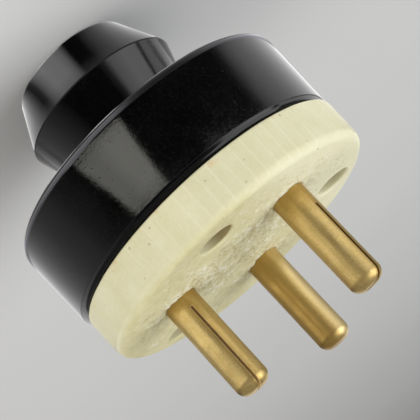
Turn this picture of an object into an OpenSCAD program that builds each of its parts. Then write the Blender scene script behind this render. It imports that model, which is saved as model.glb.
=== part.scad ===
// Three-pin plug: a ribbed porcelain base carries three brass pins, and a black moulded cap with a
// double-cone grip closes it. The plug stands on the flat cable end of its grip, pins up, axis on Z.

/* [Cap disc] */
// Diameter of the cap and the base where they meet
joint_d = 42.2; // [40:0.1:50]
// Height of the disc, from its shoulder to the joint
disc_h = 12.7; // [12:0.1:20]
// How far the disc widens from the joint to its shoulder, each side
shoulder_flare = 0.4; // [0:0.05:1]
// Rounding of the shoulder's outer edge
shoulder_r = 1.4; // [0.3:0.1:2]
// Rounding of the cap's edge at the joint
rim_r = 1.1; // [0.2:0.1:1.5]
// Thickness of the disc's side wall at the joint
wall_t = 2.6; // [2:0.1:3.2]
// Thickness of the roof over the wiring chamber
roof_t = 2.6; // [2:0.1:3.5]

/* [Grip] */
// Height of the grip below the shoulder
grip_h = 15.8; // [12:0.1:24]
// Diameter of the neck, where the grip meets the shoulder
neck_d = 17.6; // [17:0.1:20]
// Diameter of the grip's waist, its widest place
waist_d = 23.3; // [22:0.1:28]
// Distance from the shoulder to the middle of the waist
waist_drop = 9.2; // [7:0.1:11]
// Width of the flat band round the waist
waist_band = 0.2; // [0.1:0.1:1.5]
// Diameter of the flat cable end, measured to its sharp corner
end_d = 17.3; // [16.5:0.1:21]
// Rounding of the cable end's outer edge
end_r = 0.5; // [0.3:0.1:1.2]
// Fillet between the neck and the shoulder
neck_r = 0.5; // [0.2:0.1:1.5]

/* [Cable way] */
// Diameter of the cable entry
cable_d = 9.5; // [6:0.1:11]
// Length of the cable entry
cable_len = 4; // [3:0.1:6]
// Rounding of the cable entry's mouth
cable_mouth_r = 0.8; // [0.3:0.1:1.2]
// Diameter of the space for the cord's knot
knot_d = 13.5; // [12:0.1:14]
// Rounding of the edge where the knot space opens into the chamber
knot_mouth_r = 0.8; // [0.3:0.1:1.5]

/* [Porcelain base] */
// Thickness of the disc that shows, from the joint to the face
base_h = 6.3; // [5.5:0.1:9]
// How much smaller the base's rim is than the joint, each side
base_inset = 0.1; // [0:0.05:0.5]
// How far the rim lies off the pins' centre after firing
rim_shift = 0.3; // [0:0.05:0.5]
// Rounding of the face's outer edge
face_r = 1.2; // [0.5:0.1:2]
// Rounding of the rim's edge at the joint
foot_r = 0.3; // [0.1:0.1:0.8]
// Number of fine ribs round the rim
rib_count = 75; // [48:1:90]
// Height of a rib over the hollow beside it
rib_h = 0.1; // [0.05:0.01:0.2]
// Width of a rib's crest
rib_w = 0.3; // [0.2:0.05:0.5]
// Height of the spigot that centres the base in the cap
spigot_h = 2; // [1.5:0.1:3]
// Gap round the spigot, each side
spigot_gap = 0.25; // [0.1:0.05:0.5]
// Rounding of the screw recesses' mouths in the face
mouth_r = 0.4; // [0.1:0.05:0.8]

/* [Pins] */
// Diameter of a pin
pin_d = 4.8; // [4:0.1:5]
// Distance between any two pins, centre to centre
pin_pitch = 19; // [18:0.1:20]
// Length of a pin in front of the face
pin_len = 15.5; // [12:0.1:20]
// How much shorter than the others the live pin is
live_short = 0.6; // [0:0.05:0.8]
// Rounding of a pin's tip
tip_r = 1.5; // [0.8:0.1:1.9]
// Width of the slot in the live and neutral pins
slot_w = 0.4; // [0.3:0.05:1]
// Distance from the face to the closed end of the live pin's slot
live_slot_start = 1.9; // [1:0.1:6]
// Distance from the face to the closed end of the neutral pin's slot
neutral_slot_start = 3.5; // [1:0.1:6]
// Direction of the live pin's slot, seen from the pins' side
live_slot_turn = 64; // [0:1:180]
// Direction of the neutral pin's slot, seen from the pins' side
neutral_slot_turn = 30; // [0:1:180]
// Gap round a pin's stud in the porcelain, each side
pin_gap = 0.15; // [0.05:0.05:0.2]

/* [Terminals] */
// Diameter of the threaded stud behind a pin
stud_d = 3.6; // [3:0.1:4]
// Length of stud left over behind the terminal nut
stud_over = 0.7; // [0.3:0.1:1]
// Diameter of the washers
washer_d = 8; // [7:0.1:9]
// Thickness of the washers
washer_t = 0.8; // [0.5:0.1:1]
// Width of the nuts across their flats
nut_af = 6.4; // [6:0.1:7.5]
// Thickness of the nuts
nut_h = 2.2; // [1.8:0.1:2.4]
// Gap between a thread and its nut or insert, each side
thread_gap = 0.05; // [0.02:0.01:0.1]

/* [Fixing screws] */
// Distance of the screws' circle from the cap's rim
screw_inset = 5.6; // [5.4:0.1:6]
// How far the screws' circle lies off the pins' centre, towards the earth pin
screw_shift = 1; // [0:0.1:1.2]
// Angle of the two side screws from the line across the plug
side_angle = 25; // [22:1:32]
// Diameter of the recess in the face for a screw's head
recess_d = 5.1; // [4.8:0.1:6]
// Depth of the recess below the face
recess_depth = 3; // [2:0.1:3.5]
// Thread diameter of a screw
screw_d = 2.5; // [2:0.1:3]
// Length of a screw under its head
screw_len = 10; // [8:0.5:10.5]
// Diameter of a screw's head
head_d = 4.5; // [3.8:0.1:4.7]
// Height of a screw's head
head_h = 1.6; // [1.2:0.1:1.9]
// Width of the slot in a screw's head
drive_w = 0.7; // [0.4:0.1:1]
// Depth of the slot in a screw's head
drive_depth = 0.7; // [0.4:0.1:0.9]
// Gap round a screw in the porcelain, each side
screw_gap = 0.2; // [0.1:0.05:0.3]
// Diameter of the threaded inserts in the cap
insert_d = 4.2; // [4:0.1:5]
// Length of the inserts
insert_len = 5; // [4:0.1:5.5]
// Diameter of the cap's bosses round the inserts
boss_d = 8.4; // [7.6:0.1:8.8]
// Gap between the bosses and the spigot
boss_gap = 0.2; // [0.1:0.05:0.5]

/* [Hidden] */
$fn = 96;

BAKELITE = [0.07, 0.07, 0.08];
PORCELAIN = [0.87, 0.84, 0.71];
BRASS = [0.72, 0.55, 0.26];
STEEL = [0.55, 0.54, 0.52];

POLES = ["live", "neutral", "earth"];
POLE_ANGLES = [-30, 210, 90];
SCREW_ANGLES = [-90, 180 - side_angle, side_angle];
DRIVE_TURNS = [20, 75, 130];
pin_ring_r = pin_pitch / sqrt(3);

// Levels up the axis, from the cable end
waist_z = grip_h - waist_drop;
shoulder_z = grip_h;
chamber_z = shoulder_z + roof_t;
joint_z = shoulder_z + disc_h;
spigot_z = joint_z - spigot_h;
boss_z = spigot_z - boss_gap;
face_z = joint_z + base_h;
recess_z = face_z - recess_depth;
washer_z = spigot_z - washer_t;
nut_z = washer_z - nut_h;
terminal_washer_z = nut_z - washer_t;
terminal_nut_z = terminal_washer_z - nut_h;
stud_z = terminal_nut_z - stud_over;

// Radii from the axis
rim_radius = joint_d / 2;
shoulder_radius = rim_radius + shoulder_flare;
chamber_radius = rim_radius - wall_t;
spigot_radius = chamber_radius - spigot_gap;
base_radius = rim_radius - base_inset;
screw_ring_r = rim_radius - screw_inset;

// Rib hollows: each is cut by a cylinder that leaves a crest of rib_w on each side
rib_pitch = 2 * PI * base_radius / rib_count;
hollow_half = (rib_pitch - rib_w) / 2;
hollow_radius = (hollow_half * hollow_half + rib_h * rib_h) / (2 * rib_h);

// Small edges that all turned brass and steel pieces share
edge_c = 0.3;
// Length by which cutting shapes run past the faces they cut
past = 1;

function unit(v) = v / norm(v);

// Place on a circle round the axis
function at(radius, angle) = [radius * cos(angle), radius * sin(angle), 0];
function pin_at(pole) = at(pin_ring_r, POLE_ANGLES[pole]);
function screw_at(k) = at(screw_ring_r, SCREW_ANGLES[k]) + [-rim_shift, screw_shift, 0];

// Sliver between a profile's corner and the arc of radius r that rounds it.
// It is taken off an outer corner and added to an inner one.
module corner_sliver(before, corner, after, r) {
    to_before = unit(before - corner);
    to_after = unit(after - corner);
    half = acos(to_before * to_after) / 2;
    reach = r / tan(half);
    centre = corner + unit(to_before + to_after) * r / sin(half);
    difference() {
        polygon([corner, corner + to_before * reach, centre, corner + to_after * reach]);
        translate(centre) circle(r);
    }
}

// Turned solid of the polygon through points, with the corner numbers in outer rounded off by radii
module turned(points, outer = [], radii = [], inner = [], fillets = []) {
    count = len(points);
    rotate_extrude() {
        difference() {
            polygon(points);
            for (k = [0:1:len(outer) - 1])
                corner_sliver(points[(outer[k] + count - 1) % count], points[outer[k]],
                    points[(outer[k] + 1) % count], radii[k]);
        }
        for (k = [0:1:len(inner) - 1])
            corner_sliver(points[inner[k] - 1], points[inner[k]], points[inner[k] + 1], fillets[k]);
    }
}

// Round hole that opens upward at z = top, with a rounded mouth
module well(d, top, depth) {
    r = d / 2;
    mouth = [r, top];
    rotate_extrude() {
        translate([0, top - depth]) square([r, depth + past]);
        corner_sliver([r, top - depth], mouth, [r + past, top], mouth_r);
        translate([r, top]) square([mouth_r, past]);
    }
}

// Black cap: disc, undercut neck and double-cone grip moulded in one, hollow for the cord and the terminals
module cap() {
    profile = [
        [cable_d / 2, 0], [end_d / 2, 0],
        [waist_d / 2, waist_z - waist_band / 2], [waist_d / 2, waist_z + waist_band / 2],
        [neck_d / 2, shoulder_z], [shoulder_radius, shoulder_z], [rim_radius, joint_z],
        [chamber_radius, joint_z], [chamber_radius, chamber_z],
        [knot_d / 2, chamber_z], [knot_d / 2, cable_len], [cable_d / 2, cable_len]];
    color(BAKELITE)
    difference() {
        union() {
            turned(profile, [0, 1, 5, 6, 9], [cable_mouth_r, end_r, shoulder_r, rim_r, knot_mouth_r],
                [4], [neck_r]);
            for (k = [0:2])
                translate(screw_at(k) + [0, 0, chamber_z - past])
                    cylinder(d = boss_d, h = boss_z - chamber_z + past);
        }
        for (k = [0:2])
            translate(screw_at(k) + [0, 0, boss_z - insert_len])
                cylinder(d = insert_d, h = insert_len + past);
    }
}

// Hollows between the ribs of the base's rim
module rib_hollows() {
    for (k = [0:rib_count - 1])
        rotate((k + 0.5) * 360 / rib_count)
            translate([base_radius + hollow_radius - rib_h, 0, joint_z - past])
                cylinder(r = hollow_radius, h = base_h + 2 * past);
}

// Porcelain base: ribbed disc on a spigot, with holes for the pins' studs and recesses for the screws
module porcelain_base() {
    disc = [[0, joint_z], [base_radius, joint_z], [base_radius, face_z], [0, face_z]];
    color(PORCELAIN)
    difference() {
        union() {
            translate([-rim_shift, 0, 0])
            difference() {
                turned(disc, [1, 2], [foot_r, face_r]);
                rib_hollows();
            }
            translate([0, 0, spigot_z]) cylinder(r = spigot_radius, h = spigot_h + base_h / 2);
        }
        for (k = [0:2])
            translate(pin_at(k) + [0, 0, spigot_z - past])
                cylinder(d = stud_d + 2 * pin_gap, h = spigot_h + base_h + 2 * past);
        for (k = [0:2])
            translate(screw_at(k)) {
                well(recess_d, face_z, recess_depth);
                translate([0, 0, spigot_z - past])
                    cylinder(d = screw_d + 2 * screw_gap, h = spigot_h + base_h + past);
            }
    }
}

// Brass pin on the axis: its shoulder stands on the face, and a threaded stud goes through the porcelain
module pin(length) {
    end = face_z + length;
    profile = [
        [0, stud_z], [stud_d / 2 - edge_c, stud_z], [stud_d / 2, stud_z + edge_c], [stud_d / 2, face_z],
        [pin_d / 2, face_z], [pin_d / 2, end], [0, end]];
    turned(profile, [5], [tip_r]);
}

// Slot across a pin, along Y, from a round closed end to past the tip
module pin_slot(start) {
    across = pin_d + 2 * past;
    translate([0, 0, face_z + start + slot_w / 2]) {
        translate([-slot_w / 2, -across / 2, 0]) cube([slot_w, across, pin_len]);
        rotate([90, 0, 0]) cylinder(d = slot_w, h = across, center = true);
    }
}

// Live and neutral pins: split along most of their length, so that they spring in the socket
module split_pin(pole, length, start, turn) {
    color(BRASS)
    translate(pin_at(pole))
    rotate(turn - 90)
    difference() {
        pin(length);
        pin_slot(start);
    }
}

module earth_pin() {
    color(BRASS) translate(pin_at(2)) pin(pin_len);
}

// Plain washer round a pin's stud
module washer(pole, z) {
    color(BRASS)
    translate(pin_at(pole) + [0, 0, z])
    difference() {
        cylinder(d = washer_d, h = washer_t);
        translate([0, 0, -past]) cylinder(d = stud_d + 2 * pin_gap, h = washer_t + 2 * past);
    }
}

// Thin six-sided nut with its corners turned off at both ends
module nut(pole, z) {
    corner = nut_af / 2 / cos(30);
    slope = (corner - nut_af / 2) * tan(30);
    turned_off = [[0, 0], [nut_af / 2, 0], [corner, slope], [corner, nut_h - slope], [nut_af / 2, nut_h], [0, nut_h]];
    color(BRASS)
    translate(pin_at(pole) + [0, 0, z])
    difference() {
        intersection() {
            rotate(POLE_ANGLES[pole]) cylinder(r = corner, h = nut_h, $fn = 6);
            turned(turned_off);
        }
        translate([0, 0, -past]) cylinder(d = stud_d + 2 * thread_gap, h = nut_h + 2 * past);
    }
}

// Slotted cheese-head screw that holds the base to the cap
module fixing_screw(k) {
    tip = recess_z - screw_len;
    top = recess_z + head_h;
    profile = [
        [0, tip], [screw_d / 2 - edge_c, tip], [screw_d / 2, tip + edge_c], [screw_d / 2, recess_z],
        [head_d / 2, recess_z], [head_d / 2, top], [0, top]];
    color(STEEL)
    translate(screw_at(k))
    difference() {
        turned(profile, [5], [edge_c]);
        rotate(DRIVE_TURNS[k])
            translate([-head_d, -drive_w / 2, top - drive_depth]) cube([2 * head_d, drive_w, drive_depth + past]);
    }
}

// Threaded brass insert in a boss of the cap
module screw_insert(k) {
    color(BRASS)
    translate(screw_at(k) + [0, 0, boss_z - insert_len])
    difference() {
        cylinder(d = insert_d, h = insert_len);
        translate([0, 0, -past]) cylinder(d = screw_d + 2 * thread_gap, h = insert_len + 2 * past);
    }
}

cap();
porcelain_base();
split_pin(0, pin_len - live_short, live_slot_start, live_slot_turn);  // live_pin
split_pin(1, pin_len, neutral_slot_start, neutral_slot_turn);  // neutral_pin
earth_pin();
for (k = [0:2]) {
    washer(k, washer_z);
    nut(k, nut_z);
    washer(k, terminal_washer_z);
    nut(k, terminal_nut_z);
    fixing_screw(k);
    screw_insert(k);
}
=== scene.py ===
import math

import bmesh
import bpy
import numpy as np
from mathutils import Matrix, Vector
from mathutils import noise as terrain


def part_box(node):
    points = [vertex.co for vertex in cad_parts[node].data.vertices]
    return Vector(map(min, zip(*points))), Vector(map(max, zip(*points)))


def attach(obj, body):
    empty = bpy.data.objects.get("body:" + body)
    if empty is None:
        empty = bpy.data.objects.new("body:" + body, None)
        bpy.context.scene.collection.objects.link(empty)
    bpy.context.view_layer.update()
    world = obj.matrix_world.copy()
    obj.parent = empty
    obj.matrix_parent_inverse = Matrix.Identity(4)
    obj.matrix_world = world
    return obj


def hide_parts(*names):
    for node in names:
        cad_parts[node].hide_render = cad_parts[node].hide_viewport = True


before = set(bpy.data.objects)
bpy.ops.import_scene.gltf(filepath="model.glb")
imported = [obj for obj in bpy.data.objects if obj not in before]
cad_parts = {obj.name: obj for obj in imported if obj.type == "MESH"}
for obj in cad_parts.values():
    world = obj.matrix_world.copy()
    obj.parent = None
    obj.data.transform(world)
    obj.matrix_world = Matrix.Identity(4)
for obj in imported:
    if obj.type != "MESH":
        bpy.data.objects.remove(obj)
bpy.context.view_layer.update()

MM = 0.001
PIN_NAMES = ("live_pin", "neutral_pin", "earth_pin")
SCREW_NUMBERS = (1, 2, 3)


def box_mm(node):
    """Lowest and highest corner of a CAD node."""
    low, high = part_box(node)
    return np.array(low) / MM, np.array(high) / MM


def middle_mm(node):
    """Place of a CAD node's axis."""
    low, high = box_mm(node)
    return (low + high)[:2] / 2


# Heights and places taken from the frame
JOINT_Z = box_mm("cap")[1][2]
SPIGOT_Z = box_mm("porcelain_base")[0][2]
FACE_Z = box_mm("porcelain_base")[1][2]
STUD_Z = box_mm("live_pin")[0][2]
PIN_PLACES = {name: middle_mm(name) for name in PIN_NAMES}
TIP_Z = {name: box_mm(name)[1][2] for name in PIN_NAMES}
SCREW_PLACES = [middle_mm(f"fixing_screw_{k}") for k in SCREW_NUMBERS]
INSERT_LOW, INSERT_HIGH = box_mm("screw_insert_1")
INSERT_R = (INSERT_HIGH[0] - INSERT_LOW[0]) / 2

# Cap
HOLE_R = 4.75
HOLE_MOUTH = 0.8
END_R = 8.65
END_ROUND = 0.5
WAIST_R = 11.65
WAIST_Z = 6.5
WAIST_LAND = 0.2
WAIST_ROUND = 0.12
NECK_R = 8.8
NECK_FILLET = 0.5
SHOULDER_R = 21.5
SHOULDER_Z = 15.8
SHOULDER_ROUND = 1.4
JOINT_R = 21.1
JOINT_ROUND = 1.1
CHAMBER_R = 18.5
CHAMBER_Z = 18.4
KNOT_R = 6.75
KNOT_Z = 4.0
BOSS_R = 4.2
CHAMBER_EDGE = 0.2
CHAMBER_FILLET = 0.4
KNOT_FILLET = 0.3
KNOT_EDGE = 0.2
CAP_SEGMENTS = 256
BOSS_SEGMENTS = 48
CAP_SHARP = 35

# Porcelain base
RIM_R = 21.0
RIM_SHIFT = -0.3
FOOT_ROUND = 0.3
FACE_ROUND = 1.2
RIM_DRAFT = 0.12
RIM_WAVER = 0.03
RIM_HEIGHTS = (0.04, 0.15, 0.3, 0.45, 0.6, 0.75, 0.88, 1.0)
SPIGOT_R = 18.25
SPIGOT_BEVEL = 0.2
UNDERSIDE_RING = 3.0
RIBS = 75
RIB_H = 0.04
RIB_HALF = 0.1
RIB_END = 1.06
RIB_FADE = 0.3
RIB_COLUMNS = (-0.86, -0.45, -0.28, -0.19, -0.12, -0.05, 0.05, 0.12, 0.19, 0.28, 0.45)
FACE_STEP = 0.21
FACE_COLUMNS = 480
FACE_CENTRE = 0.4
FOOT_STEPS = 6
FACE_EDGE_STEPS = 12
RECESS_R = 2.55
RECESS_DEPTH = 3.0
RECESS_FILLET = 0.15
RECESS_MOUTH = 0.4
MOUTH_REACH = 1.1
MOUTH_RISE = 0.08
SCREW_HOLE_R = 1.45
STUD_HOLE_R = 1.95
SEAT_GAP = 0.03
WELL_SEGMENTS = 72
BASE_SHARP = 55
LIP_H = 0.13
LIP_SPREAD = 0.55

# Pins
PIN_R = 2.4
TIP_ROUND = 1.5
PIN_EDGE = 0.08
WALL_MARGIN = 0.2
WALL_RINGS = 12
PIN_SHARP = 35
STUD_R = 1.8
STUD_BEVEL = 0.25
SLOT_W = 0.4
SLOTS = {"live_pin": (1.9, 64.0), "neutral_pin": (3.5, 30.0)}
PIN_SEGMENTS = 128
DUSTY_PIN = "live_pin"
# for each pin: tarnish height over the face, and the share of painted shade on the +x side and painted
# highlight on the -x side
PIN_TARNISH_AND_SHADING = {"live_pin": (3.5, 0.0), "neutral_pin": (6.5, 0.1), "earth_pin": (5.0, 0.75)}

ARC_STEP = math.radians(7)
GUARD = 0.04
CLEAR = 1.0
WELD = 0.002
ON_AXIS = 1e-6
SQUARE = ((-1, -1), (1, -1), (1, 1), (-1, 1))


# Meshes
def rounded(corners):
    """Closed outline through corners (r, z, radius), with an arc and two guard points at each round one."""
    points = []
    for i, (r, z, radius) in enumerate(corners):
        here = np.array((r, z), float)
        if radius == 0:
            points.append(here)
            continue
        before = np.array(corners[i - 1][:2], float) - here
        after = np.array(corners[(i + 1) % len(corners)][:2], float) - here
        before /= np.linalg.norm(before)
        after /= np.linalg.norm(after)
        half = math.acos(before @ after) / 2
        inward = (before + after) / np.linalg.norm(before + after)
        centre = here + inward * radius / math.sin(half)
        start = here + before * radius / math.tan(half)
        end = here + after * radius / math.tan(half)
        first = math.atan2(*(start - centre)[::-1])
        turn = (math.atan2(*(end - centre)[::-1]) - first + math.pi) % (2 * math.pi) - math.pi
        steps = max(3, math.ceil(abs(turn) / ARC_STEP))
        points.append(start + before * GUARD)
        for k in range(steps + 1):
            angle = first + turn * k / steps
            points.append(centre + radius * np.array((math.cos(angle), math.sin(angle))))
        points.append(end + after * GUARD)
    return points


def lathe(outline, segments, place=(0, 0)):
    """Vertices and faces of a closed outline turned about an upright axis; a point on it is one vertex."""
    vertices = []
    rings = []
    for r, z in outline:
        first = len(vertices)
        if r < ON_AXIS:
            vertices.append((place[0], place[1], z))
            rings.append([first] * segments)
            continue
        for k in range(segments):
            angle = 2 * math.pi * k / segments
            vertices.append((place[0] + r * math.cos(angle), place[1] + r * math.sin(angle), z))
        rings.append(list(range(first, first + segments)))
    faces = []
    for i, ring in enumerate(rings):
        other = rings[(i + 1) % len(rings)]
        if ring[0] == ring[1] and other[0] == other[1]:
            continue
        for k in range(segments):
            n = (k + 1) % segments
            corners = [ring[k], ring[n], other[n], other[k]]
            faces.append(list(dict.fromkeys(corners)))
    return vertices, faces


def mesh_object(name, *shells):
    """Object made of one or more closed shells of vertices and faces, turned outwards."""
    vertices = []
    faces = []
    for shell_vertices, shell_faces in shells:
        first = len(vertices)
        vertices += [tuple(MM * float(c) for c in v) for v in shell_vertices]
        faces += [[first + i for i in face] for face in shell_faces]
    mesh = bpy.data.meshes.new(name)
    mesh.from_pydata(vertices, [], faces)
    work = bmesh.new()
    work.from_mesh(mesh)
    bmesh.ops.recalc_face_normals(work, faces=work.faces)
    work.to_mesh(mesh)
    work.free()
    made = bpy.data.objects.new(name, mesh)
    bpy.context.scene.collection.objects.link(made)
    return made


def combine(piece, tool, operation):
    """Joins a tool to a piece or cuts it out, cleans the seams and deletes the tool."""
    modifier = piece.modifiers.new("combine", "BOOLEAN")
    modifier.operation = operation
    modifier.solver = "EXACT"
    modifier.object = tool
    graph = bpy.context.evaluated_depsgraph_get()
    result = bpy.data.meshes.new_from_object(piece.evaluated_get(graph))
    piece.modifiers.clear()
    work = bmesh.new()
    work.from_mesh(result)
    bmesh.ops.remove_doubles(work, verts=work.verts, dist=WELD * MM)
    work.normal_update()
    bmesh.ops.triangulate(work, faces=[face for face in work.faces if len(face.verts) > 4])
    work.normal_update()
    bmesh.ops.dissolve_degenerate(work, edges=work.edges, dist=WELD * MM)
    work.to_mesh(result)
    work.free()
    old = piece.data
    piece.data = result
    bpy.data.meshes.remove(old)
    bpy.data.objects.remove(tool)


def smooth(piece, angle):
    """Smooth shading, with edges sharp above an angle in degrees."""
    piece.data.shade_smooth()
    piece.data.set_sharp_from_angle(angle=math.radians(angle))


def dress(piece, node):
    """Seats a piece on the plug in place of a CAD node."""
    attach(piece, "root")
    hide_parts(node)


def waves(seed, count, shortest, longest):
    """Smooth uneven field over x and y, of plane waves with drawn lengths, headings and phases."""
    draw = np.random.default_rng(seed)
    lengths = np.exp(draw.uniform(math.log(shortest), math.log(longest), count))
    headings = draw.uniform(0, 2 * math.pi, count)
    phases = draw.uniform(0, 2 * math.pi, count)

    def field(x, y):
        total = np.zeros_like(x)
        for length, heading, phase in zip(lengths, headings, phases):
            along = x * math.cos(heading) + y * math.sin(heading)
            total += np.sin(2 * math.pi * along / length + phase)
        return total / math.sqrt(count / 2)

    return field


FRACTAL_FALL = 0.5
FRACTAL_GAP = 2.1


def fractal(seed, size, octaves):
    """Uneven field over x and y, with features of about a size in millimetres and finer ones on them."""

    def field(x, y):
        spots = [(u, v, seed) for u, v in zip(x / size, y / size)]
        return np.array([terrain.fractal(spot, FRACTAL_FALL, FRACTAL_GAP, octaves) for spot in spots])

    return field


def ease(value):
    """Smooth step from 0 to 1."""
    t = np.clip(value, 0, 1)
    return t * t * (3 - 2 * t)


# Cap: one hollow moulding, with a boss for each screw
cap_outline = rounded([
    (HOLE_R, 0, HOLE_MOUTH),
    (END_R, 0, END_ROUND),
    (WAIST_R, WAIST_Z, WAIST_ROUND),
    (WAIST_R, WAIST_Z + WAIST_LAND, WAIST_ROUND),
    (NECK_R, SHOULDER_Z, NECK_FILLET),
    (SHOULDER_R, SHOULDER_Z, SHOULDER_ROUND),
    (JOINT_R, JOINT_Z, JOINT_ROUND),
    (CHAMBER_R, JOINT_Z, CHAMBER_EDGE),
    (CHAMBER_R, CHAMBER_Z, CHAMBER_FILLET),
    (KNOT_R, CHAMBER_Z, HOLE_MOUTH),
    (KNOT_R, KNOT_Z, KNOT_FILLET),
    (HOLE_R, KNOT_Z, KNOT_EDGE),
])
cap = mesh_object("cap_moulding", lathe(cap_outline, CAP_SEGMENTS))
boss_outline = [
    (0, CHAMBER_Z - CLEAR),
    (BOSS_R, CHAMBER_Z - CLEAR),
    (BOSS_R, INSERT_HIGH[2]),
    (INSERT_R, INSERT_HIGH[2]),
    (INSERT_R, INSERT_LOW[2]),
    (0, INSERT_LOW[2]),
]
bosses = mesh_object("bosses", *(lathe(boss_outline, BOSS_SEGMENTS, place) for place in SCREW_PLACES))
combine(cap, bosses, "UNION")
smooth(cap, CAP_SHARP)
dress(cap, "cap")

# Porcelain base: ribbed rim, uneven face, wells for the screws and seats for the pins
broad = waves(seed=11, count=14, shortest=6, longest=14)
sway = waves(seed=37, count=12, shortest=3, longest=9)
patchy = waves(seed=41, count=16, shortest=2.5, longest=7)
grit = fractal(seed=2.3, size=0.65, octaves=3)
lumps = fractal(seed=7.7, size=2.4, octaves=3)


def near_pins(x, y):
    """Distance from the nearest pin's wall."""
    spans = [np.hypot(x - px, y - py) for px, py in PIN_PLACES.values()]
    return np.min(spans, axis=0) - PIN_R


def near_wells(x, y):
    """Distance from the nearest screw recess's wall."""
    spans = [np.hypot(x - px, y - py) for px, py in SCREW_PLACES]
    return np.min(spans, axis=0) - RECESS_R


PLATEAU_HALF = np.array((7.2, 7.6))
PLATEAU_PLACE = np.array((0.3, -2.0))
PLATEAU_SOFT = 1.6
PLATEAU_SWAY = 0.5
PLATEAU_H = 0.07
BROAD_H = 0.02
GRIT_H = 0.115
LUMP_H = 0.12
LUMP_SHARE = 0.6
HOLLOW_SHARE = 0.6
LIP_UNEVEN = 0.3
WELL_CLEAR = 0.5
WELL_FADE = 1.2
EDGE_FADE = 2.5
GROUND_ROUGH = 0.3
PATCH_ROUGH = 0.4
ROOT_SHARE = 0.9
ROOT_REACH = 4.2


def plateau(x, y):
    """1 on the raised middle of the face, 0 on the rest."""
    reach_x = PLATEAU_HALF[0] - np.abs(x - PLATEAU_PLACE[0])
    reach_y = PLATEAU_HALF[1] - np.abs(y - PLATEAU_PLACE[1])
    return ease(0.5 + (np.minimum(reach_x, reach_y) + PLATEAU_SWAY * sway(x, y)) / PLATEAU_SOFT)


def inside(x, y):
    """1 on the face, falling to 0 towards its edge and the screw recesses."""
    edge = RIM_R - FACE_ROUND - np.hypot(x - RIM_SHIFT, y)
    return ease((near_wells(x, y) - WELL_CLEAR) / WELL_FADE) * ease(edge / EDGE_FADE)


def coarse(x, y):
    """How rough the bare face is: most on the plateau, in patches elsewhere."""
    patches = GROUND_ROUGH + PATCH_ROUGH * ease(0.45 + 0.5 * patchy(x, y))
    roots = ROOT_SHARE * np.exp(-((near_pins(x, y) / ROOT_REACH) ** 2))
    return inside(x, y) * np.max([plateau(x, y), patches, roots], axis=0)


def crumbs(x, y):
    """Uneven field of small sharp bumps with flatter ground between them."""
    bumps = grit(x, y) + LUMP_SHARE * lumps(x, y)
    return np.where(bumps > 0, bumps, HOLLOW_SHARE * bumps)


def relief(x, y):
    """Height of the hand-pressed face over its plane."""
    off_pin = np.maximum(near_pins(x, y), 0)
    lip = LIP_H * np.exp(-((off_pin / LIP_SPREAD) ** 2)) * (1 + LIP_UNEVEN * lumps(x, y))
    ground = BROAD_H * broad(x, y) + PLATEAU_H * plateau(x, y)
    rough = GRIT_H * crumbs(x, y) + LUMP_H * lumps(x, y) * (0.3 + 0.7 * plateau(x, y))
    return ground * inside(x, y) + rough * coarse(x, y) + lip


def band(first, first_angles, second, second_angles):
    """Triangles between two rings of vertices with different counts, both in order of angle."""
    faces = []
    n, m = len(first_angles), len(second_angles)
    ahead = [np.append(angles, angles[0] + 2 * math.pi) for angles in (first_angles, second_angles)]
    i = j = 0
    while i < n or j < m:
        if j == m or (i < n and ahead[0][i + 1] <= ahead[1][j + 1]):
            faces.append((first + i, first + (i + 1) % n, second + j % m))
            i += 1
        else:
            faces.append((first + i % n, second + (j + 1) % m, second + j))
            j += 1
    return faces


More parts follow.
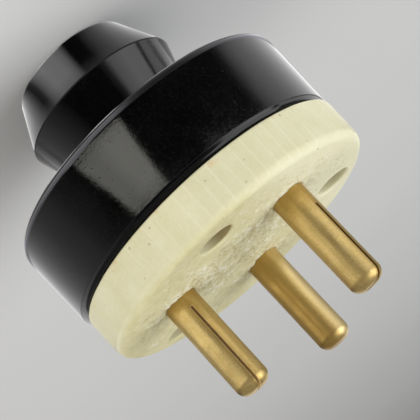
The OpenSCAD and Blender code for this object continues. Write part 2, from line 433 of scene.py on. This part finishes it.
def porcelain_shell():
    """Vertices and faces of the base before its wells are cut."""
    pitch = 2 * math.pi * RIM_R / RIBS
    offsets = np.array(RIB_COLUMNS)
    rim_angles = (np.arange(RIBS)[:, None] * pitch + offsets[None, :]).ravel() / RIM_R
    face_angles = rim_angles[0] + 2 * math.pi * np.arange(FACE_COLUMNS) / FACE_COLUMNS
    ridge = np.tile(np.exp(-((offsets / RIB_HALF) ** 2)), RIBS)
    wander = RIM_WAVER * sway(RIM_R * np.cos(rim_angles), RIM_R * np.sin(rim_angles))
    rings = []

    def ring(r, z, shift, angles=rim_angles):
        z = np.broadcast_to(z, angles.shape)
        rings.append((angles, np.stack([shift + r * np.cos(angles), r * np.sin(angles), z], -1)))

    ring(UNDERSIDE_RING, SPIGOT_Z, 0)
    ring(SPIGOT_R - SPIGOT_BEVEL, SPIGOT_Z, 0)
    ring(SPIGOT_R, SPIGOT_Z + SPIGOT_BEVEL, 0)
    ring(SPIGOT_R, JOINT_Z, 0)
    ring(RIM_R - FOOT_ROUND - GUARD, JOINT_Z, RIM_SHIFT)
    for k in range(FOOT_STEPS + 1):
        turn = math.pi / 2 * k / FOOT_STEPS
        r = RIM_R - FOOT_ROUND * (1 - math.sin(turn)) + wander * math.sin(turn)
        r = r - RIB_H * (1 - ridge) * math.sin(turn) ** 4
        ring(r, JOINT_Z + FOOT_ROUND * (1 - math.cos(turn)), RIM_SHIFT)
    low, high = JOINT_Z + FOOT_ROUND, FACE_Z - FACE_ROUND
    for t in RIM_HEIGHTS:
        fade = ease((RIB_END - t) / RIB_FADE)
        ring(RIM_R + wander - RIB_H * (1 - ridge * fade) - RIM_DRAFT * t, low + (high - low) * t, RIM_SHIFT)
    top = RIM_R - RIB_H - RIM_DRAFT
    for k in range(1, FACE_EDGE_STEPS + 1):
        turn = math.pi / 2 * k / FACE_EDGE_STEPS
        r = top - FACE_ROUND * (1 - math.cos(turn)) + wander * math.cos(turn)
        ring(r, FACE_Z - FACE_ROUND * (1 - math.sin(turn)), RIM_SHIFT)
    start = top - FACE_ROUND
    for r in np.linspace(start, FACE_CENTRE, round(start / FACE_STEP))[1:]:
        x, y = RIM_SHIFT + r * np.cos(face_angles), r * np.sin(face_angles)
        ring(r, FACE_Z + relief(x, y), RIM_SHIFT, face_angles)

    starts = np.cumsum([0] + [len(angles) for angles, _ in rings])
    faces = []
    for (angles, _), (next_angles, _), a, b in zip(rings, rings[1:], starts, starts[1:]):
        count = len(angles)
        if count == len(next_angles):
            faces += [(a + k, a + (k + 1) % count, b + (k + 1) % count, b + k) for k in range(count)]
        else:
            faces += band(a, angles, b, next_angles)
    centre_low, centre_high = starts[-1], starts[-1] + 1
    faces += [(centre_low, (k + 1) % len(rim_angles), k) for k in range(len(rim_angles))]
    last = starts[-2]
    faces += [(centre_high, last + k, last + (k + 1) % FACE_COLUMNS) for k in range(FACE_COLUMNS)]
    top_z = FACE_Z + float(relief(np.array([RIM_SHIFT]), np.zeros(1))[0])
    ends = [(0, 0, SPIGOT_Z), (RIM_SHIFT, 0, top_z)]
    vertices = np.concatenate([points for _, points in rings] + [ends])
    return vertices, [tuple(int(i) for i in face) for face in faces]


base = mesh_object("porcelain_disc", porcelain_shell())
well_outline = rounded([
    (0, SPIGOT_Z - CLEAR, 0),
    (SCREW_HOLE_R, SPIGOT_Z - CLEAR, 0),
    (SCREW_HOLE_R, FACE_Z - RECESS_DEPTH, 0),
    (RECESS_R, FACE_Z - RECESS_DEPTH, RECESS_FILLET),
    (RECESS_R, FACE_Z, RECESS_MOUTH),
    (RECESS_R + MOUTH_REACH, FACE_Z + MOUTH_RISE, 0),
    (RECESS_R + MOUTH_REACH, FACE_Z + CLEAR, 0),
    (0, FACE_Z + CLEAR, 0),
])
seat_outline = [
    (0, SPIGOT_Z - CLEAR),
    (STUD_HOLE_R, SPIGOT_Z - CLEAR),
    (STUD_HOLE_R, FACE_Z),
    (PIN_R + SEAT_GAP, FACE_Z),
    (PIN_R + SEAT_GAP, FACE_Z + CLEAR),
    (0, FACE_Z + CLEAR),
]
wells = [lathe(well_outline, WELL_SEGMENTS, place) for place in SCREW_PLACES]
seats = [lathe(seat_outline, WELL_SEGMENTS, place) for place in PIN_PLACES.values()]
combine(base, mesh_object("wells", *wells, *seats), "DIFFERENCE")
smooth(base, BASE_SHARP)
dress(base, "porcelain_base")


def mark(piece, name, values):
    """Stores a value per vertex, for a material."""
    store = piece.data.attributes.new(name, "FLOAT", "POINT")
    store.data.foreach_set("value", np.asarray(values, np.float32))


# Marks that the porcelain's material reads: rib crests for a painted highlight, rough and chalky ground with
# painted relief shading, and painted shade round the pin roots and in the screw recesses, with a darker
# smear
RIM_BAND = 1.0
RIM_SOFT = 0.5
FACE_DEPTH = 0.6
FACE_SOFT = 0.3
CREST_SEED = 53
CREST_LEAST = 0.3
CREST_HALF = 0.15
CREST_DIM_SIDE = -30.0
CREST_DIM_SHARE = 0.85
ROOT_SHADE = 0.5
WELL_SHADE = (1.0, 0.12, 0.45)
SMEAR_GRIME = 0.16
SMEAR_PLACE = (1.5, -17.5)
SMEAR_HALF = (7.0, 3.0)

corners = np.zeros(3 * len(base.data.vertices))
base.data.vertices.foreach_get("co", corners)
x, y, z = corners.reshape(-1, 3).T / MM
depth = FACE_Z - z
turn = np.arctan2(y, x - RIM_SHIFT)
rib = turn * RIBS / (2 * math.pi)
off_crest = (rib - np.round(rib)) * 2 * math.pi * RIM_R / RIBS
# painted highlight: paler lines on the rib crests, of random strength per rib and mostly taken away round
# azimuth -30 degrees
kept = np.random.default_rng(CREST_SEED).uniform(CREST_LEAST, 1.0, RIBS)[np.round(rib).astype(int) % RIBS]
kept = kept * (1 - CREST_DIM_SHARE * ease(0.5 + 1.4 * np.cos(turn - math.radians(CREST_DIM_SIDE)) - 0.9))
on_rim = ease((np.hypot(x - RIM_SHIFT, y) - RIM_R + RIM_BAND) / RIM_SOFT)
mark(base, "crest", kept * np.exp(-((off_crest / CREST_HALF) ** 2)) * on_rim)
on_face = ease((FACE_DEPTH - depth) / FACE_SOFT) * ease(1 - on_rim)
mark(base, "rough", coarse(x, y) * on_face)
# chalky crumbs with painted relief shading: raised crumbs paler as a painted highlight, hollows browner as
# painted shade
mark(base, "chalk_and_relief_shading", 0.5 + 0.5 * np.clip(1.2 * crumbs(x, y), -1, 1) * coarse(x, y) * on_face)
# painted shade: a dark ring on the face round each pin's root
shade_and_smear = ROOT_SHADE * ease((0.35 - near_pins(x, y)) / 0.3) * ease((0.5 - np.abs(depth)) / 0.2)
# a darker smear near the face's edge at -y
smear = np.exp(-(((x - SMEAR_PLACE[0]) / SMEAR_HALF[0]) ** 2) - ((y - SMEAR_PLACE[1]) / SMEAR_HALF[1]) ** 2)
shade_and_smear = np.maximum(shade_and_smear, SMEAR_GRIME * smear * ease((1.2 - depth) / 0.8))
# painted shade: each screw recess darkened inside, most towards -x
for share, (px, py) in zip(WELL_SHADE, SCREW_PLACES):
    in_well = ease((RECESS_R + 0.15 - np.hypot(x - px, y - py)) / 0.2) * ease((depth - 0.15) / 0.25)
    shaded_end = ease(0.8 + (px - x) / (1.5 * RECESS_R))
    shade_and_smear = np.maximum(shade_and_smear, share * shaded_end * in_well)
mark(base, "shade_and_smear", shade_and_smear)


# Pins: turned brass with a rounded tip, two of them split by a saw cut
def pin(node):
    """Brass pin with its stud, in place of a CAD node."""
    x, y = PIN_PLACES[node]
    tip = TIP_Z[node]
    wall_low, wall_high = FACE_Z + WALL_MARGIN, tip - TIP_ROUND - WALL_MARGIN
    outline = rounded([
        (0, STUD_Z, 0),
        (STUD_R, STUD_Z, STUD_BEVEL),
        (STUD_R, FACE_Z, 0),
        (PIN_R, FACE_Z, PIN_EDGE),
        *((PIN_R, z, 0) for z in np.linspace(wall_low, wall_high, WALL_RINGS)),
        (PIN_R, tip, TIP_ROUND),
        (0, tip, 0),
    ])
    made = mesh_object(node + "_brass", lathe(outline, PIN_SEGMENTS, (x, y)))
    if node in SLOTS:
        start, heading = SLOTS[node]
        along = np.array((math.cos(math.radians(heading)), math.sin(math.radians(heading))))
        across = np.array((-along[1], along[0]))
        low, high = FACE_Z + start, tip + CLEAR
        corners = []
        for z in (low, high):
            for a, b in SQUARE:
                corner = np.array((x, y)) + a * (PIN_R + CLEAR) * along + b * SLOT_W / 2 * across
                corners.append((*corner, z))
        sides = [(0, 1, 2, 3), (4, 5, 6, 7), (0, 1, 5, 4), (1, 2, 6, 5), (2, 3, 7, 6), (3, 0, 4, 7)]
        combine(made, mesh_object("slot", (corners, sides)), "DIFFERENCE")
    smooth(made, PIN_SHARP)
    dress(made, node)
    return made


pins = [pin(node) for node in PIN_NAMES]


# Materials
def shader(name, **values):
    """New material: its node tree and its surface shader, with constant values on the shader's sockets."""
    material = bpy.data.materials.new(name)
    material.use_nodes = True
    tree = material.node_tree
    surface = tree.nodes["Principled BSDF"]
    for socket, value in values.items():
        surface.inputs[socket.replace("_", " ")].default_value = value
    return material, tree, surface


def add(tree, kind, inputs=None, **settings):
    """New node, with links or values on its inputs; its first output."""
    made = tree.nodes.new("ShaderNode" + kind)
    for key, value in settings.items():
        setattr(made, key, value)
    for socket, value in (inputs or {}).items():
        if isinstance(value, bpy.types.NodeSocket):
            tree.links.new(value, made.inputs[socket])
        else:
            made.inputs[socket].default_value = value
    return made.outputs[0]


def places(tree, stretch=(1, 1, 1)):
    """Position on the plug in millimetres, stretched along each axis."""
    source = tree.nodes.new("ShaderNodeTexCoord").outputs["Object"]
    scale = tuple(s / MM for s in stretch)
    return add(tree, "VectorMath", {0: source, 1: scale}, operation="MULTIPLY")


def noise(tree, where, scale, detail=4.0, roughness=0.55):
    """Uneven value from 0 to 1, with features of about 1/scale millimetres."""
    return add(tree, "TexNoise", {"Vector": where, "Scale": scale, "Detail": detail, "Roughness": roughness})


def ramp(tree, value, *stops):
    """Colour by a value from 0 to 1, through stops (place, colour)."""
    made = tree.nodes.new("ShaderNodeValToRGB")
    tree.links.new(value, made.inputs["Fac"])
    elements = made.color_ramp.elements
    for place, _ in stops[1:-1]:
        elements.new(place)
    for element, (place, colour) in zip(elements, stops):
        element.position = place
        element.color = (*colour, 1)
    return made.outputs["Color"]


def span(tree, value, low, high, out_low=0.0, out_high=1.0):
    """Value from low to high brought smoothly to the range of the outputs."""
    inputs = {"Value": value, "From Min": low, "From Max": high, "To Min": out_low, "To Max": out_high}
    return add(tree, "MapRange", inputs, interpolation_type="SMOOTHSTEP")


def maths(tree, operation, a, b):
    """Sum, product or the like of two values."""
    return add(tree, "Math", {0: a, 1: b}, operation=operation)


def mix(tree, share, a, b):
    """Colour between a and b."""
    made = tree.nodes.new("ShaderNodeMix")
    made.data_type = "RGBA"
    for socket, value in ((0, share), (6, a), (7, b)):
        if isinstance(value, bpy.types.NodeSocket):
            tree.links.new(value, made.inputs[socket])
        else:
            made.inputs[socket].default_value = (*value, 1) if isinstance(value, tuple) else value
    return made.outputs[2]


def specks(tree, where, scale, size, share):
    """1 in small sparse spots: one cell in so many has a spot, of a size in cells."""
    made = tree.nodes.new("ShaderNodeTexVoronoi")
    made.inputs["Scale"].default_value = scale
    tree.links.new(where, made.inputs["Vector"])
    spot = span(tree, made.outputs["Distance"], size, size * 0.6)
    chosen = add(tree, "SeparateColor", {"Color": made.outputs["Color"]})
    return maths(tree, "MULTIPLY", spot, maths(tree, "LESS_THAN", chosen, share))


def bump(tree, height, depth, under=None):
    """Normal with a height from 0 to 1 raised by a depth in millimetres, over another normal."""
    inputs = {"Height": height, "Distance": depth * MM, "Strength": 1.0}
    if under is not None:
        inputs["Normal"] = under
    return add(tree, "Bump", inputs)


def link(tree, surface, **outputs):
    """Links outputs to the surface shader's sockets."""
    for socket, value in outputs.items():
        tree.links.new(value, surface.inputs[socket.replace("_", " ")])


def axis_of(tree, where, axis):
    """Place on the plug along one axis in millimetres."""
    made = tree.nodes.new("ShaderNodeSeparateXYZ")
    tree.links.new(where, made.inputs[0])
    return made.outputs[axis]


def marked(tree, name):
    """Value stored on the piece's vertices."""
    made = tree.nodes.new("ShaderNodeAttribute")
    made.attribute_name = name
    return made.outputs["Fac"]


def paint(piece, material):
    """Gives a piece one material."""
    piece.data.materials.clear()
    piece.data.materials.append(material)


def bakelite():
    """Deep black glossy moulding with dull specks, faint smears and a slightly wavy surface."""
    material, tree, surface = shader("bakelite_black", Specular_IOR_Level=0.3)
    where = places(tree)
    smear = noise(tree, where, 0.25, 5)
    dust = maths(tree, "MAXIMUM", specks(tree, where, 0.8, 0.1, 0.3), specks(tree, where, 2.0, 0.16, 0.25))
    colour = ramp(tree, smear, (0.3, (0.0012, 0.0012, 0.0012)), (0.7, (0.0026, 0.0025, 0.0026)))
    meal = noise(tree, where, 3.2, 4, 0.75)
    colour = mix(tree, span(tree, meal, 0.5, 0.7, 0.0, 0.7), colour, (0.009, 0.0088, 0.0076))
    gloss = span(tree, smear, 0.3, 0.75, 0.05, 0.1)
    gloss = maths(tree, "ADD", gloss, span(tree, meal, 0.45, 0.7, 0.0, 0.06))
    rough = maths(tree, "ADD", gloss, maths(tree, "MULTIPLY", dust, 0.25))
    wavy = bump(tree, noise(tree, where, 0.1, 2), 0.03)
    peel = bump(tree, noise(tree, where, 0.8, 3, 0.6), 0.007, wavy)
    grain = bump(tree, meal, 0.004, peel)
    link(tree, surface, Base_Color=colour, Roughness=rough, Normal=grain)
    return material


CHALK_AND_HIGHLIGHT_WHITE = (0.93, 0.91, 0.76)
PIT_AND_SHADE_BROWN = (0.50, 0.42, 0.22)


def porcelain():
    """Cream porcelain: satin rim with a painted highlight on the rib crests, bare chalky face with painted
    relief shading and painted light towards -x, painted shade in the wells and round the pin roots, with
    specks and stains.
    """
    material, tree, surface = shader("porcelain_cream", Specular_IOR_Level=0.4)
    where = places(tree)
    z = axis_of(tree, where, "Z")
    face = span(tree, z, FACE_Z - 0.9, FACE_Z - 0.02)
    mottle = noise(tree, where, 0.3, 5)
    fine = noise(tree, places(tree, (1.0, 0.35, 1.0)), 1.6, 5, 0.65)
    glaze = ramp(tree, mottle, (0.3, (0.72, 0.68, 0.43)), (0.7, (0.785, 0.75, 0.52)))
    glaze = mix(tree, span(tree, fine, 0.45, 0.75, 0.0, 0.4), glaze, (0.68, 0.66, 0.37))
    # painted highlight on the rib crests, in a pale cream
    glaze = mix(tree, maths(tree, "MULTIPLY", marked(tree, "crest"), 0.42), glaze, (0.88, 0.855, 0.66))
    bare = ramp(tree, noise(tree, where, 0.7, 5), (0.3, (0.675, 0.62, 0.345)), (0.7, (0.785, 0.735, 0.46)))
    # painted light: the bare face made lighter towards -x
    lit_side = span(tree, axis_of(tree, where, "X"), -4.0, -14.0, 0.0, 0.9)
    bare = mix(tree, lit_side, bare, (0.92, 0.89, 0.65))
    chalk_and_relief_shading = marked(tree, "chalk_and_relief_shading")
    # chalky crumbs and painted relief shading: paler on raised crumbs, browner in hollows
    bare = mix(tree, span(tree, chalk_and_relief_shading, 0.55, 0.95, 0.0, 0.85), bare, CHALK_AND_HIGHLIGHT_WHITE)
    bare = mix(tree, span(tree, chalk_and_relief_shading, 0.47, 0.15, 0.0, 0.8), bare, PIT_AND_SHADE_BROWN)
    meal = noise(tree, where, 2.6, 4, 0.75)
    rough_mark = marked(tree, "rough")
    white = maths(tree, "MULTIPLY", span(tree, meal, 0.5, 0.68, 0.0, 0.6), rough_mark)
    bare = mix(tree, white, bare, CHALK_AND_HIGHLIGHT_WHITE)
    dark = maths(tree, "MULTIPLY", span(tree, meal, 0.5, 0.32, 0.0, 0.5), rough_mark)
    bare = mix(tree, dark, bare, PIT_AND_SHADE_BROWN)
    colour = mix(tree, face, glaze, bare)
    colour = mix(tree, span(tree, meal, 0.5, 0.3, 0.0, 0.16), colour, (0.52, 0.50, 0.27))
    joint = span(tree, z, JOINT_Z + 1.8, JOINT_Z + 0.2)
    stain = maths(tree, "MULTIPLY", span(tree, noise(tree, where, 0.5, 2), 0.62, 0.74), joint)
    colour = mix(tree, maths(tree, "MULTIPLY", stain, 0.6), colour, (0.70, 0.50, 0.22))
    dirt = specks(tree, where, 0.6, 0.13, 0.4)
    dirt = maths(tree, "MULTIPLY", dirt, span(tree, mottle, 0.35, 0.65, 0.15, 0.6))
    colour = mix(tree, dirt, colour, (0.34, 0.29, 0.15))
    # painted shade at the pin roots and in the recesses, with the darker smear, mixed in as dark brown
    colour = mix(tree, maths(tree, "MULTIPLY", marked(tree, "shade_and_smear"), 0.85), colour, (0.22, 0.14, 0.02))
    rough = span(tree, face, 0.0, 1.0, 0.36, 0.75)
    skin = bump(tree, noise(tree, where, 0.5, 3), 0.02)
    skin = bump(tree, maths(tree, "MULTIPLY", fine, face), 0.05, skin)
    grain = maths(tree, "MULTIPLY", noise(tree, where, 3.0, 3, 0.6), rough_mark)
    link(tree, surface, Base_Color=colour, Roughness=rough, Normal=bump(tree, grain, 0.12, skin))
    return material


BRASS_METAL = 0.85
BRASS_TONES = ((0.3, (0.62, 0.45, 0.165)), (0.55, (0.69, 0.512, 0.205)), (0.75, (0.74, 0.56, 0.24)))


def pin_brass(node, tarnish_top, dull):
    """Old dull streaky brass, tarnished brown from the root up to a height, with painted shade in that brown
    on the +x side and beside any saw cut, and a painted highlight on the -x side, both sides by a share.
    """
    material, tree, surface = shader(node + "_brass", Metallic=BRASS_METAL, Specular_IOR_Level=0.3)
    where = places(tree)
    streak = noise(tree, places(tree, (2.6, 2.6, 0.1)), 1.0, 4)
    cloud = noise(tree, where, 0.35, 4)
    colour = ramp(tree, streak, *BRASS_TONES)
    mealy = span(tree, noise(tree, where, 3.4, 4, 0.75), 0.4, 0.7, 0.0, 0.6)
    colour = mix(tree, mealy, colour, (0.5, 0.33, 0.1))
    root = span(tree, axis_of(tree, where, "Z"), FACE_Z + tarnish_top, FACE_Z + 0.3)
    axis_x = PIN_PLACES[node][0]
    place_x = axis_of(tree, where, "X")
    # painted shade on the +x side and painted highlight on the -x side, by the share dull
    side = span(tree, place_x, axis_x - 1.5, axis_x + 0.2, 0.0, dull)
    lit_sheen = span(tree, place_x, axis_x - 0.9, axis_x - 1.8, 0.0, dull)
    colour = mix(tree, lit_sheen, colour, (0.92, 0.72, 0.37))
    root = maths(tree, "MULTIPLY", root, span(tree, cloud, 0.3, 0.6, 0.3, 0.75))
    brown = maths(tree, "MAXIMUM", root, side)
    if node in SLOTS:
        heading = math.radians(SLOTS[node][1])
        across = (-math.sin(heading), math.cos(heading))
        shares = [maths(tree, "MULTIPLY", axis_of(tree, where, a), s) for a, s in zip("XY", across)]
        off = maths(tree, "SUBTRACT", maths(tree, "ADD", *shares), float(PIN_PLACES[node] @ across))
        off = maths(tree, "ABSOLUTE", off, 0.0)
        # painted shade: brown along both sides of the saw cut
        groove = span(tree, off, SLOT_W * 1.8, SLOT_W / 2, 0.0, 0.65)
        brown = maths(tree, "MAXIMUM", brown, groove)
    # brown tarnish at the root, with the painted shade on the +x side and beside the saw cut
    colour = mix(tree, brown, colour, (0.43, 0.26, 0.06))
    if node == DUSTY_PIN:
        above = maths(tree, "GREATER_THAN", axis_of(tree, where, "Z"), FACE_Z + SLOTS[node][0] - 0.02)
        dust = maths(tree, "MULTIPLY", span(tree, off, SLOT_W / 2 + 0.05, SLOT_W / 2 + 0.01), above)
        colour = mix(tree, dust, colour, (0.7, 0.52, 0.24))
        link(tree, surface, Metallic=span(tree, dust, 0.0, 1.0, BRASS_METAL, 0.0))
    rough = span(tree, cloud, 0.3, 0.7, 0.36, 0.48)
    grain = bump(tree, noise(tree, where, 3.5, 3), 0.004, bump(tree, streak, 0.004))
    link(tree, surface, Base_Color=colour, Roughness=rough, Normal=grain)
    return material


def terminal_brass():
    """Plain dull brass of the washers, nuts and inserts."""
    material, tree, surface = shader("brass_terminal", Metallic=1.0)
    cloud = noise(tree, places(tree), 1.2, 5)
    colour = ramp(tree, cloud, (0.3, (0.50, 0.34, 0.12)), (0.7, (0.72, 0.53, 0.22)))
    link(tree, surface, Base_Color=colour, Roughness=span(tree, cloud, 0.3, 0.7, 0.28, 0.45))
    return material


def screw_steel():
    """Dull dark steel of the fixing screws."""
    material, tree, surface = shader("steel_screw", Metallic=1.0)
    cloud = noise(tree, places(tree), 1.6, 5)
    colour = ramp(tree, cloud, (0.3, (0.26, 0.23, 0.19)), (0.7, (0.46, 0.43, 0.38)))
    link(tree, surface, Base_Color=colour, Roughness=span(tree, cloud, 0.3, 0.7, 0.35, 0.55))
    return material


paint(cap, bakelite())
paint(base, porcelain())
for piece, node in zip(pins, PIN_NAMES):
    paint(piece, pin_brass(node, *PIN_TARNISH_AND_SHADING[node]))
terminals = terminal_brass()
steel = screw_steel()
for name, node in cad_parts.items():
    if name.startswith("fixing_screw"):
        paint(node, steel)
    elif "washer" in name or "nut" in name or "insert" in name:
        paint(node, terminals)


# Stage
FLOOR_HALF = 3000.0
FLOOR_DROP = 0.02
WORLD_COLOUR = (1.0, 0.99, 0.97, 1)
WORLD_LEVEL = 0.25


def floor_paper():
    """Plain pale paper."""
    material, tree, surface = shader("pale_paper", Specular_IOR_Level=0.0, Roughness=0.9)
    tone = noise(tree, places(tree), 0.004, 3)
    link(tree, surface, Base_Color=ramp(tree, tone, (0.3, (0.72, 0.72, 0.72)), (0.7, (0.76, 0.76, 0.755))))
    return material


floor_corners = [(sx * FLOOR_HALF, sy * FLOOR_HALF, -FLOOR_DROP) for sx, sy in SQUARE]
floor = mesh_object("floor", (floor_corners, [(0, 1, 2, 3)]))
paint(floor, floor_paper())

world = bpy.data.worlds.new("studio")
world.use_nodes = True
world.node_tree.nodes["Background"].inputs["Color"].default_value = WORLD_COLOUR
world.node_tree.nodes["Background"].inputs["Strength"].default_value = WORLD_LEVEL
bpy.context.scene.world = world


def polar(azimuth, radius, z):
    """Point at an azimuth in degrees round the plug."""
    angle = math.radians(azimuth)
    return radius * math.cos(angle), radius * math.sin(angle), z


def lamp(name, azimuth, elevation, distance, size, level, colour, mirrored):
    """Square soft lamp that faces the plug and lights a white sheet there to a level; gloss may miss it."""
    data = bpy.data.lights.new(name, "AREA")
    data.size = size * MM
    data.energy = level * (math.pi * distance * MM) ** 2
    data.color = colour
    made = bpy.data.objects.new(name, data)
    e = math.radians(elevation)
    made.location = Vector(polar(azimuth, distance * math.cos(e), distance * math.sin(e))) * MM
    aim = Vector((0, 0, JOINT_Z * MM)) - made.location
    made.rotation_mode = "QUATERNION"
    made.rotation_quaternion = aim.to_track_quat("-Z", "Y")
    made.visible_camera = False
    made.visible_glossy = mirrored
    bpy.context.scene.collection.objects.link(made)


WARM = (1.0, 0.98, 0.94)
COOL = (0.97, 0.985, 1.0)
NEUTRAL = (1.0, 0.99, 0.97)
lamp("key", azimuth=-52, elevation=27, distance=900, size=900, level=0.65, colour=WARM, mirrored=False)
lamp("side", azimuth=-168, elevation=36, distance=900, size=900, level=0.79, colour=COOL, mirrored=True)
lamp("top", azimuth=0, elevation=88, distance=1200, size=1600, level=0.08, colour=NEUTRAL, mirrored=False)

STRIP_PLACE = (150.0, 16.0)
STRIP_SIZE = (260.0, 30.0)
CARD_STEP = 1.5


def group(name, pieces):
    """Set of pieces that a card or strip lights."""
    made = bpy.data.collections.new(name)
    for piece in pieces:
        made.objects.link(piece)
    return made


def strip(name, lit, azimuth, level):
    """Low upright strip lamp that only the gloss of a group of pieces sees."""
    data = bpy.data.lights.new(name, "AREA")
    data.shape = "RECTANGLE"
    data.size = STRIP_SIZE[0] * MM
    data.size_y = STRIP_SIZE[1] * MM
    data.energy = level * math.pi * data.size * data.size_y
    made = bpy.data.objects.new(name, data)
    made.location = Vector(polar(azimuth, *STRIP_PLACE)) * MM
    made.rotation_euler = (math.pi / 2, 0, math.radians(azimuth + 90))
    made.visible_camera = False
    made.visible_diffuse = False
    made.light_linking.receiver_collection = lit
    bpy.context.scene.collection.objects.link(made)


def card(name, lit, inner, outer, stops, squeeze=1.0, tint=(1, 1, 1), clear_below=False):
    """Card that only the gloss of a group of pieces sees, between two arcs (radius, height).

    Its stops are an azimuth and the level there, for both arcs or for each. The outer arc is squeezed about
    the middle azimuth, and the underside may be clear.
    """
    azimuths = [stop[0] for stop in stops]
    count = round((azimuths[0] - azimuths[-1]) / CARD_STEP)
    across = np.linspace(azimuths[0], azimuths[-1], count + 1)
    levels = [np.interp(-across, [-a for a in azimuths], [stop[k] for stop in stops]) for k in (1, -1)]
    middle = (azimuths[0] + azimuths[-1]) / 2
    near = [polar(a, *inner) for a in across]
    far = [polar(middle + (a - middle) * squeeze, *outer) for a in across]
    faces = [(k, k + 1, count + k + 2, count + k + 1) for k in range(count)]
    made = mesh_object(name, (near + far, faces))
    mark(made, "glow", np.concatenate(levels))
    material = bpy.data.materials.new(name)
    material.use_nodes = True
    tree = material.node_tree
    tree.nodes.clear()
    light = add(tree, "Emission", {"Color": (*tint, 1), "Strength": marked(tree, "glow")})
    if clear_below:
        under = tree.nodes.new("ShaderNodeNewGeometry").outputs["Backfacing"]
        light = add(tree, "MixShader", {0: under, 1: light, 2: add(tree, "BsdfTransparent")})
    tree.links.new(light, tree.nodes.new("ShaderNodeOutputMaterial").inputs["Surface"])
    material.cycles.emission_sampling = "NONE"
    paint(made, material)
    made.visible_camera = False
    made.visible_diffuse = False
    made.visible_shadow = False
    made.light_linking.receiver_collection = lit


# Cards: flat for the end cone, waist, shoulder, cap's side and pins, and upright for the neck and the tips
glazed = group("glazed", [cap, base])
metal = group("metal", pins)
glossy = group("glossy", [cap, *pins])
every = group("every", [cap, base, *pins])
END_LEVELS = [
    (98, 0.6), (30, 0.9), (-20, 1.5), (-35, 1.1), (-52, 0.12), (-58, 0.3), (-66, 1.9), (-75, 3.4),
    (-91, 3.4), (-98, 2.5), (-105, 0.03), (-119, 0.03), (-131, 0.6), (-155, 1.2), (-182, 1.3),
    (-210, 0.9), (-262, 0.6),
]
WAIST_LEVEL = 1.1
WAIST_LEVELS = [(*stop, WAIST_LEVEL) for stop in END_LEVELS]
BAND_Z = 14.8
BAND_TINT = (1.0, 0.97, 1.05)
SHOULDER_LEVELS = [
    (98, 0.4), (-5, 0.5), (-46, 1.3), (-73, 3.5), (-95, 3.3), (-104, 0.8), (-110, 0.5), (-124, 0.4),
    (-133, 0.7), (-142, 1.2), (-156, 1.6), (-178, 1.5), (-200, 0.4), (-262, 0.4),
]
BAND_LEVELS = [(-64, 0.3), (-70, 3.3), (-79, 3.1), (-85, 0.1)]
SIDE_LEVELS = [
    (98, 1.55), (75, 1.1), (35, 1.1), (20, 0.9), (-10, 0.6), (-26, 0.5), (-36, 0.28), (-46, 0.16),
    (-57, 0.02), (-130, 0.02), (-168, 0.06), (-173, 0.3), (-178, 0.95), (-186, 1.45), (-215, 1.55),
    (-262, 1.55),
]
PATCH_LEVELS = [(-58, 3.8), (-70, 3.8), (-82, 4.9), (-97.5, 4.7)]
PATCH_SQUEEZE = 0.67
PATCH_TINT = (1.0, 0.99, 0.9)
NECK_LEVELS = [
    (98, 1.8), (75, 1.5), (-15, 0.8), (-55, 0.15), (-64, 0.02), (-122, 0.04), (-131, 0.4), (-139, 2.5),
    (-160, 3.6), (-182, 2.9), (-185, 0.4), (-188, 0.4), (-191, 1.9), (-210, 1.5), (-262, 1.8),
]
PIN_LEVELS = [
    (98, 0.2), (75, 0.9), (20, 0.6), (-50, 0.45), (-120, 0.45), (-133, 2.7), (-160, 2.6), (-185, 1.7),
    (-205, 0.6), (-262, 0.2),
]
TIP_LEVELS = [(112, 1.2), (52, 1.2)]
card("card_end", glazed, (8.0, 0.05), (12.2, 0.05), END_LEVELS)
card("card_waist", glazed, (12.2, 0.05), (16.5, 0.05), WAIST_LEVELS)
card("card_shoulder", glazed, (21.5, BAND_Z), (25.1, BAND_Z), SHOULDER_LEVELS,
     tint=BAND_TINT, clear_below=True)
card("card_band", glazed, (25.1, BAND_Z), (27.8, BAND_Z), BAND_LEVELS,
     tint=BAND_TINT, clear_below=True)
card("card_side", glazed, (56, 0.2), (147, 0.2), SIDE_LEVELS)
card("card_patch", glazed, (79, 0.3), (140, 0.3), PATCH_LEVELS, squeeze=PATCH_SQUEEZE, tint=PATCH_TINT)
card("card_neck", glazed, (340, 0), (340, 130), NECK_LEVELS)
card("card_pins", glossy, (147, 0.05), (338, 0.05), PIN_LEVELS)
card("card_tips", every, (335, 90), (335, 230), TIP_LEVELS)

strip("strip_pins", metal, azimuth=-46, level=2.2)

# Camera at the photograph's viewing angle
FRAME_PX = 420
FOCAL_PX = 1473.5
AIM = Vector((-0.607, 0.067, 27.6))
DISTANCE = 192.087
AZIMUTH = math.radians(-6.298)
ELEVATION = math.radians(14.903)
ROLL = math.radians(136.915)
SENSOR_MM = 36.0
NEAREST = 10.0

right = Vector((math.cos(AZIMUTH), math.sin(AZIMUTH), 0))
back = Vector((
    math.sin(AZIMUTH) * math.cos(ELEVATION),
    -math.cos(AZIMUTH) * math.cos(ELEVATION),
    math.sin(ELEVATION),
))
up = back.cross(right)
image_right = math.cos(ROLL) * right + math.sin(ROLL) * up
image_up = math.cos(ROLL) * up - math.sin(ROLL) * right
camera = bpy.data.objects.new("camera", bpy.data.cameras.new("camera"))
camera.data.sensor_width = SENSOR_MM
camera.data.lens = FOCAL_PX / FRAME_PX * SENSOR_MM
camera.data.clip_start = NEAREST * MM
turn = Matrix((image_right, image_up, back)).transposed().to_4x4()
camera.matrix_world = Matrix.Translation((AIM + DISTANCE * back) * MM) @ turn
bpy.context.scene.collection.objects.link(camera)
bpy.context.scene.camera = camera
bpy.context.scene.view_settings.view_transform = "Standard"
